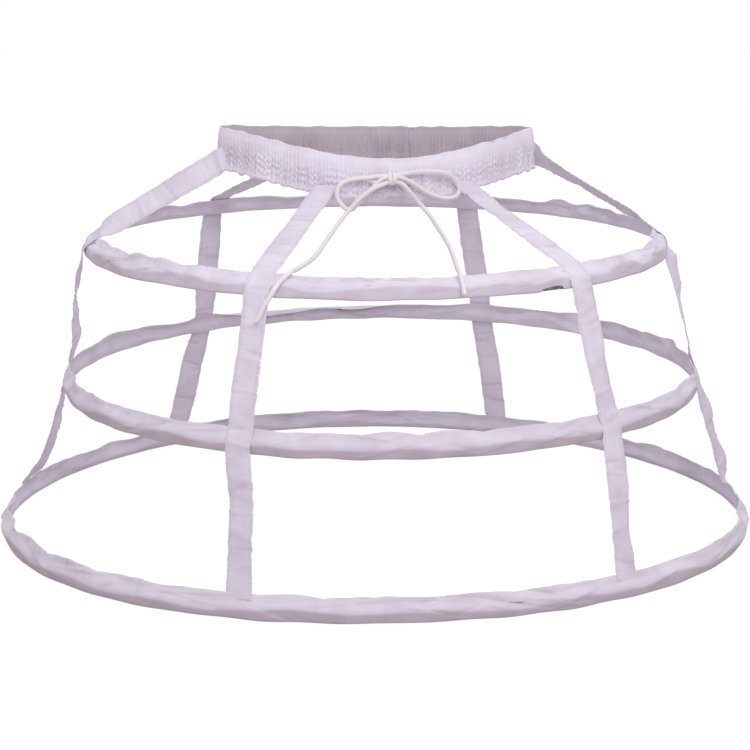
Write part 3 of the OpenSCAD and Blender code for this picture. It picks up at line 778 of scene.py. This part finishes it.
def sew_strap(name, spec, seed):
    """Sews a strap along its route and gives it with its stitches and its length."""
    at, line, wide, heading = smooth_route(*strap_route(spec), 1.2)
    face = unit(np.cross(wide, heading))
    turn = at / at[-1] * 2 * np.pi
    ends = ease(at, 0, 14) * (1 - ease(at, at[-1] - 16, at[-1]))
    frayed = [ends * (wander(turn, 8, 40, 0.16, seed + k) + wander(turn, 90, 170, 0.14, seed + 2 + k))
              for k in (0, 1)]
    levels = np.array([-1, -0.93, -0.8, -0.72, -0.4, 0, 0.4, 0.72, 0.8, 0.93, 1])
    thick = STRAP_T / 2 * np.array([0.25, 0.9, 0.55, 1, 1, 1, 1, 1, 0.55, 0.9, 0.25])
    across = STRAP_W / 2 * levels[None, :] + np.where(levels < 0, -1, 1) * np.abs(levels) ** 4 * np.where(
        levels[None, :] < 0, frayed[0][:, None], frayed[1][:, None])
    ripple = ends[:, None] * (wander(turn[:, None] + 0.04 * levels, 8, 20, 0.14, seed)
                              + wander(turn[:, None] - 0.06 * levels, 14, 44, 0.1, seed + 1))
    curl = ends[:, None] * wander(turn, 4, 16, 0.15, seed + 7)[:, None] * levels[None, :] ** 2
    pulled = wander(turn, 60, 110, 0.22, seed + 8)[:, None] * np.clip(np.abs(levels) - 0.4, 0, None)[None, :]
    rise = ripple + curl + ends[:, None] * (strap_creases(at, across, seed + 9) + pulled)
    middle = line[:, None] + across[..., None] * wide[:, None] + rise[..., None] * face[:, None]
    skin = thick[None, :, None] * face[:, None]
    grid = np.concatenate([middle - skin, (middle + skin)[:, ::-1]], 1)
    # Painted shade: the inner face, the dents of ripples and creases, the stitch grooves, and the outer face
    # towards the hem are painted darker.
    facing_in = np.sum(face * [0, 0, 1], 1).mean() > 0
    painted_shading = np.repeat([0.06, 0.0] if facing_in else [0.0, 0.06], len(levels))
    dent_shade = 0.4 * np.clip(np.concatenate([rise, -rise[:, ::-1]], 1), 0, 1)
    groove_shade = 0.3 * np.isin(np.abs(levels), [0.8])
    hem_shade = 0.35 * ease(at, 0.62 * at[-1], 0.85 * at[-1])[:, None] * (painted_shading == 0)
    shade_amount = painted_shading + dent_shade + hem_shade + np.concatenate([groove_shade, groove_shade])
    piece = cloth_from_grid(name + "_cloth", grid, COTTON, tube=True, inside=shade_amount)
    rows = [middle[:, j] + side * 0.42 * face for j in (2, 8) for side in (-1, 1)]
    seams = stitch(name + "_stitches", rows, pitch=3.0, long=2.0, thick=0.4)
    print(name, "is", round(at[-1]), "mm long")
    return piece, seams, at[-1]


straps = {name: sew_strap(name, spec, 200 + 20 * k) for k, (name, spec) in enumerate(STRAPS.items())}

# %% [markdown]
# ## The drawstring
# The drawstring is a soft braided cotton cord. It leaves the band through two eyelets, ties in a bow at
# the front, and its two ends hang down over the top hoop. The braid is two sets of strands that wind
# opposite ways, so its material needs two numbers: the distance along the cord and the place round it.

# %% Cord material
def braided(name, colour, shade, pitch_mm):
    material, tree, cord = shader(name)
    fill_in(cord, Roughness=0.85, Specular_IOR_Level=0.2, Sheen_Weight=0.15)
    waves = []
    for way in (1, -1):
        lay = reckon(tree, "MULTIPLY", marked(tree, "along"), way * 2 * math.pi / (pitch_mm * MM))
        wrap = reckon(tree, "MULTIPLY_ADD", marked(tree, "round"), 4 * 2 * math.pi, lay)
        waves.append(reckon(tree, "SINE", wrap))
    strand = reckon(tree, "MAXIMUM", *waves)
    tree.links.new(two_tones(tree, strand, shade, colour), cord.inputs["Base Color"])
    raise_threads(tree, strand, 0.5, 0.3, cord)
    return material


CORD_COTTON = braided("braided_cotton", (0.93, 0.895, 0.91), (0.88, 0.84, 0.855), 3.2)
print("material:", CORD_COTTON.name)

# %% [markdown]
# A curve through a few given points is the natural start for a cord. A node tree sweeps a round section
# along it and stores the two numbers that the braid needs.

# %% Cord tree
def cord_tree():
    tree, source, target = new_tree("braided_cord", ["Radius"])
    length, share = (add(tree, "GeometryNodeSplineParameter") for _ in range(2))
    keep_along, keep_round = (add(tree, "GeometryNodeCaptureAttribute") for _ in range(2))
    keep_along.capture_items.new("FLOAT", "Along")
    keep_round.capture_items.new("FLOAT", "Round")
    section = add(tree, "GeometryNodeCurvePrimitiveCircle", Resolution=14)
    sweep = add(tree, "GeometryNodeCurveToMesh", Fill_Caps=True)
    name_along = add(tree, "GeometryNodeStoreNamedAttribute", Name="along")
    name_round = add(tree, "GeometryNodeStoreNamedAttribute", Name="round")
    smooth = add(tree, "GeometryNodeSetShadeSmooth")
    paint = add(tree, "GeometryNodeSetMaterial")
    wire(tree, (source, "Path", keep_along, "Geometry"), (length, "Length", keep_along, "Along"),
         (source, "Radius", section, "Radius"), (section, "Curve", keep_round, "Geometry"),
         (share, "Factor", keep_round, "Round"), (keep_along, "Geometry", sweep, "Curve"),
         (keep_round, "Geometry", sweep, "Profile Curve"), (sweep, "Mesh", name_along, "Geometry"),
         (keep_along, "Along", name_along, "Value"), (name_along, "Geometry", name_round, "Geometry"),
         (keep_round, "Round", name_round, "Value"), (name_round, "Geometry", smooth, "Geometry"),
         (smooth, "Geometry", paint, "Geometry"), (source, "Thread", paint, "Material"),
         (paint, "Geometry", target, "Mesh"))
    return tree


CORD = cord_tree()
CORD_D = 3.8


def through(points, step=1.0):
    """A smooth line through given points, sampled about every step millimetres."""
    p = np.array(points, float)
    p = np.vstack([2 * p[0] - p[1], p, 2 * p[-1] - p[-2]])
    line = []
    for a, b, c, d in zip(p[:-3], p[1:-2], p[2:-1], p[3:]):
        count = max(2, int(np.linalg.norm(c - b) / step))
        f = np.linspace(0, 1, count, endpoint=False)[:, None]
        line.append(0.5 * (2 * b + (c - a) * f + (2 * a - 5 * b + 4 * c - d) * f ** 2
                           + (3 * b - a - 3 * c + d) * f ** 3))
    return np.vstack(line + [p[-2:-1]])


def lay_cord(name, points):
    """Lays a cord through given points and gives it with its line and its length."""
    line = through(points)
    piece = grow(name, path_object(name, [line]), CORD, {"Radius": CORD_D / 2 * MM, "Thread": CORD_COTTON})
    length = float(distances(line)[-1])
    print(name, "is", round(length), "mm long")
    return piece, line, length


# %% [markdown]
# The bow's routes are measured from the knot's middle, as in the solid model. Each loop leaves at the back
# of the knot and comes in again at its front, and the tails start below.

# %% Bow
KNOT_HALF = 5.5
KNOT = np.array([4.0, -(BAND_B + CREST + CLEAR + KNOT_HALF), float(band_low(np.array(0.0))) + 19])
STRAND = CORD_D / 2 + CLEAR


def on_knot(side, back, up):
    """Where a strand leaves the knot: side, back and up are 1 or -1."""
    return np.array([side * 3.5, back * STRAND, up * STRAND])


LEFT_LOOP = [[-10, 2.5, 2], [-20, 3, 1], [-31, 4, 0], [-39, 4, -2], [-44, 3.5, -6], [-46, 3, -13],
             [-43, 2.5, -20], [-38, 2, -25], [-33, 2, -25], [-27, 2, -19], [-20, 0.5, -11],
             [-14, -1.5, -4.5], [-8.5, -2.2, 0.5]]
RIGHT_LOOP = [[10, 2.5, 3.5], [20, 3, 5], [30, 4.5, 5], [40, 6, 4.5], [48, 7.5, 3], [53, 8.5, 0],
              [57, 9.5, -5], [59, 10, -11], [56, 9.5, -16.5], [49, 8, -18], [40, 6, -16.5],
              [32, 4.5, -13], [24, 2.5, -8], [16, -0.5, -3], [10, -2, 0.5]]
LEFT_TAIL = [[-9, -5, -4], [-16, -5.5, -7], [-23, -4.5, -12], [-30, -3.5, -18], [-36, -3, -25],
             [-41, -5, -30], [-49, -18, -37], [-59, -41, -44], [-68, -65, -50], [-77, -89, -53],
             [-87, -115, -53.5], [-93, -132, -53], [-97, -143.9, -52.2], [-102, -147.5, -55.4],
             [-105.9, -149.2, -58.6], [-108.6, -151.5, -61.7], [-111.2, -154.5, -64.5],
             [-114, -155.2, -69.4], [-119, -154.3, -77], [-122, -153.8, -84], [-125, -153.2, -89]]
RIGHT_TAIL = [[8.5, -4.5, -4], [14, -4.5, -10], [20, -2.5, -17], [26, -2.5, -24], [31, -9, -30],
              [34, -25, -36], [36, -50, -41], [37, -75, -45.5], [36, -105, -49.5], [33.5, -135, -51.5],
              [32, -152, -52], [31.5, -161.1, -52], [32, -165.9, -55], [32.6, -170.1, -59.3],
              [33, -174.3, -63.7], [33, -177.7, -67.3]]

cords = {}
for name, side, route in (("left_bow_loop", -1, LEFT_LOOP), ("right_bow_loop", 1, RIGHT_LOOP)):
    route = [on_knot(side, 1, 1), *route, on_knot(side, -1, 1)]
    cords[name] = lay_cord(name + "_cord", KNOT + np.array(route))
for name, side, route in (("left_bow_tail", -1, LEFT_TAIL), ("right_bow_tail", 1, RIGHT_TAIL)):
    cords[name] = lay_cord(name + "_cord", KNOT + np.array([on_knot(side, -1, -1), *route]))

# %% [markdown]
# The knot is the same cord wrapped twice round the crossing strands. Inside the band the cord runs all the
# way round; only its two ends show, between the eyelets and the knot.

# %% Knot and the run in the band
wrap = np.linspace(0, 2 * np.pi * 2.05, 90)
knot_line = np.stack([1.995 * np.sin(wrap / 2 + 0.4), 3.9 * np.cos(wrap), 3.7 * np.sin(wrap)], 1)
knot, _, _ = lay_cord("bow_knot_cord", KNOT + knot_line[::3])

LEAVING = [(10.5, 0), (9, 0.6), (7.8, 2.6), (6.8, 5.2), (5.6, 7)]     # degrees from the knot, mm off the band
knot_place = math.degrees(math.asin((KNOT[0] - BAND_X) / BAND_A))
cord_h = STITCHED + CORD_D / 2 + 2
leave_left = [on_band(np.radians(knot_place - d), n, cord_h) for d, n in LEAVING[::-1]]
leave_right = [on_band(np.radians(knot_place + d), n, cord_h) for d, n in LEAVING]
round_back = list(on_band(np.radians(np.linspace(knot_place - 12, knot_place - 348, 90)), 0, cord_h))
run, _, _ = lay_cord("drawstring_run_cord", [KNOT + on_knot(-1, 1, -1), *leave_left, *round_back,
                                             *leave_right, KNOT + on_knot(1, 1, -1)])

# %% [markdown]
# ## Elastic
# A flat elastic keeps the gathers even. It lies inside the channel and can't be seen, but anyone who opens
# the model should find it where it belongs.

# %% Elastic
ELASTIC = woven("ribbed_elastic", (0.80, 0.78, 0.80), (0.70, 0.68, 0.70), 0.8, 0.05, 0.5)
elastic_turn = np.linspace(0, 2 * np.pi, 360, endpoint=False)
ELASTIC_SECTION = [(0.7, 18.8), (0.7, 24.7), (0.7, 30.6), (1.3, 30.7),
                   (1.9, 30.6), (1.9, 24.7), (1.9, 18.8), (1.3, 18.7)]      # inwards, up
elastic_grid = np.stack([on_band(elastic_turn, -n, h) for n, h in ELASTIC_SECTION], 1)
elastic = cloth_from_grid("waist_elastic_strip", elastic_grid, ELASTIC, round_trip=True, tube=True)
print("elastic is", round(float(distances(elastic_grid[:, 0])[-1])), "mm round")

# %% [markdown]
# ## Steel
# The hoops are spring steel strip, and a flat sleeve joins the ends of each. They are hidden but for one
# place: the worn hole in the top casing bares the dark sleeve. Strips and sleeves use the hoops' own rule,
# so they lie inside the casings where a hoop is out of round. Their finish is dark and speckled with wear.

# %% Steel strips and sleeves
STEEL_UP = -3.75                     # the steel's middle, below the casing's
STRIP_W, STRIP_T = 9, 0.9
SLEEVE_LONG, SLEEVE_W, SLEEVE_T = 42, 10.5, 2.4
JOINER_AT = {"top": math.radians(26), "middle": math.radians(180), "bottom": math.radians(178)}


def steel(name, colour, worn, roughness):
    material, tree, metal = shader(name)
    fill_in(metal, Metallic=1.0)
    place = add(tree, "ShaderNodeTexCoord")
    specks = add(tree, "ShaderNodeTexNoise", Scale=420, Detail=6)
    gloss = add(tree, "ShaderNodeMapRange", To_Min=roughness, To_Max=roughness + 0.25)
    wire(tree, (place, "Object", specks, "Vector"), (specks, "Fac", gloss, "Value"),
         (gloss, "Result", metal, "Roughness"))
    tone = two_tones(tree, specks.outputs["Fac"], colour, worn, 0.4, 0.75)
    tree.links.new(tone, metal.inputs["Base Color"])
    return material


SPRING_STEEL = steel("spring_steel_strip", (0.20, 0.20, 0.22), (0.42, 0.42, 0.44), 0.35)
DARK_STEEL = steel("dark_joiner_steel", (0.085, 0.08, 0.08), (0.30, 0.29, 0.29), 0.3)


def steel_along(name, hoop, middle, half_length, wide, thick, material):
    """A strip or a sleeve of steel that follows a hoop, with rounded edges."""
    at = middle + np.linspace(-half_length, half_length, max(12, int(half_length / 2.5))) / HOOPS[hoop]["r"]
    section = [(-0.5, -0.42), (-0.5, 0.42), (-0.3, 0.5), (0.3, 0.5),
               (0.5, 0.42), (0.5, -0.42), (0.3, -0.5), (-0.3, -0.5)]
    grid = np.stack([beside_hoop(hoop, at, n * thick, u * wide + STEEL_UP) for n, u in section], 1)
    caps = [end.mean(1, keepdims=True).repeat(len(section), 1) for end in (grid[:1], grid[-1:])]
    grid = np.concatenate([caps[0], grid, caps[1]])
    return cloth_from_grid(name, grid, material, tube=True)


bones, joiners = {}, {}
for hoop, h in HOOPS.items():
    bones[hoop] = steel_along(hoop + "_hoop_strip", hoop, JOINER_AT[hoop] + math.pi, math.pi * h["r"] - 1,
                              STRIP_W, STRIP_T, SPRING_STEEL)
    joiners[hoop] = steel_along(hoop + "_hoop_sleeve", hoop, JOINER_AT[hoop], SLEEVE_LONG / 2,
                                SLEEVE_W, SLEEVE_T, DARK_STEEL)
print("hoop strips:", [round(2 * (math.pi * h["r"] - 1)) for h in HOOPS.values()], "mm long")

# %% [markdown]
# ## Put each piece on the body
# Every piece rides on the cage's one body and stands for its solid, which is hidden.

# %% Ride and replace
def settle(piece, slot, *nodes):
    """Puts a piece on the cage's body and hides the solids that it stands for. The slot is not used."""
    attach(piece, "root")
    if nodes:
        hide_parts(*nodes)
    return piece


settle(tack, "cotton")
settle(waistband, "cotton", "waistband")
settle(overlock, "cotton")
settle(channel_stitches, "cotton")
for hoop, piece in casings.items():
    settle(piece, "cotton", hoop + "_casing")
    settle(casing_seams[hoop], "cotton")
for name, (piece, seams, length) in straps.items():
    settle(piece, "cotton", name)
    settle(seams, "cotton")
for hoop in HOOPS:
    settle(bones[hoop], "spring_steel", hoop + "_bone")
    settle(joiners[hoop], "joiner_steel", hoop + "_joiner")
settle(elastic, "elastic", "waist_elastic")
settle(run, "cord", "drawstring")
settle(knot, "cord", "bow_knot")
for name, (piece, line, length) in cords.items():
    settle(piece, "cord", name)
print("declared:", len(casings) + len(straps) + 2, "sheets and", len(cords), "cords")

# %% [markdown]
# ## Studio
# The photograph is a cut-out on white, lit softly from above and in front. A wide lamp stands over the
# camera and a weaker one behind the cage, and the world gives a soft light that is stronger from above, so
# that faces turned down go mauve. The floor is white to the camera, and it keeps a faint shadow.

# %% Floor, world and lamps
FLOOR_HALF, FLOOR_Z = 6, -0.0004


def in_view(tree):
    """1 for rays that the camera sees, straight or by gloss or glass, and 0 for rays that only light."""
    rays = add(tree, "ShaderNodeLightPath")
    seen = reckon(tree, "MAXIMUM", rays.outputs["Is Camera Ray"], rays.outputs["Is Glossy Ray"])
    return reckon(tree, "MAXIMUM", seen, rays.outputs["Is Transmission Ray"])


def floor_white():
    material, tree, paint = shader("white_paper_floor")
    fill_in(paint, Base_Color=(0.62, 0.57, 0.58, 1), Roughness=0.9)
    paper = add(tree, "ShaderNodeBsdfDiffuse", Color=(0.95, 0.95, 0.95, 1))
    glow = add(tree, "ShaderNodeEmission", Strength=1.1)
    white = add(tree, "ShaderNodeMixShader", Fac=0.8)
    mix = add(tree, "ShaderNodeMixShader")
    wire(tree, (paper, 0, white, 1), (glow, 0, white, 2), (paint, 0, mix, 1), (white, 0, mix, 2),
         (mix, 0, tree.nodes["Material Output"], "Surface"))
    tree.links.new(in_view(tree), mix.inputs["Fac"])
    return material


floor_mesh = bpy.data.meshes.new("studio_floor")
corners = [(FLOOR_HALF * x, FLOOR_HALF * y, FLOOR_Z) for x, y in ((-1, -1), (1, -1), (1, 1), (-1, 1))]
floor_mesh.from_pydata(corners, [], [(0, 1, 2, 3)])
floor_mesh.materials.append(floor_white())
floor = bpy.data.objects.new("studio_floor", floor_mesh)
bpy.context.scene.collection.objects.link(floor)

world = bpy.data.worlds.new("studio_white")
bpy.context.scene.world = world
world.use_nodes = True
tree = world.node_tree
sky = fill_in(tree.nodes["Background"], Strength=0.82)
plain = add(tree, "ShaderNodeBackground", Color=(1, 1, 1, 1))
way = add(tree, "ShaderNodeTexCoord")
parts = add(tree, "ShaderNodeSeparateXYZ")
height = add(tree, "ShaderNodeMapRange", From_Min=-0.2, From_Max=0.9)
choose = add(tree, "ShaderNodeMixShader")
wire(tree, (way, "Generated", parts, 0), (parts, "Z", height, "Value"), (sky, 0, choose, 1),
     (plain, 0, choose, 2), (choose, 0, tree.nodes["World Output"], "Surface"))
from_above = two_tones(tree, height.outputs["Result"], (0.40, 0.36, 0.39), (1.0, 0.985, 1.0))
tree.links.new(from_above, sky.inputs["Color"])
tree.links.new(in_view(tree), choose.inputs["Fac"])


def lamp(name, at, size, power, colour):
    light = bpy.data.lights.new(name, "AREA")
    light.shape = "DISK"
    light.size = size
    light.energy = power
    light.color = colour
    piece = bpy.data.objects.new(name, light)
    piece.location = at
    piece.rotation_euler = (Vector((0, 0, 0.2)) - Vector(at)).to_track_quat("-Z", "Y").to_euler()
    bpy.context.scene.collection.objects.link(piece)


lamp("front_softbox", (0.1, -1.75, 1.5), 1.4, 16, (1.0, 0.99, 1.0))
lamp("back_softbox", (0.9, 2.4, 1.4), 1.5, 12, (1.0, 0.99, 1.0))
bpy.context.scene.view_settings.view_transform = "Standard"
print("lamps:", [light.name for light in bpy.data.lights])
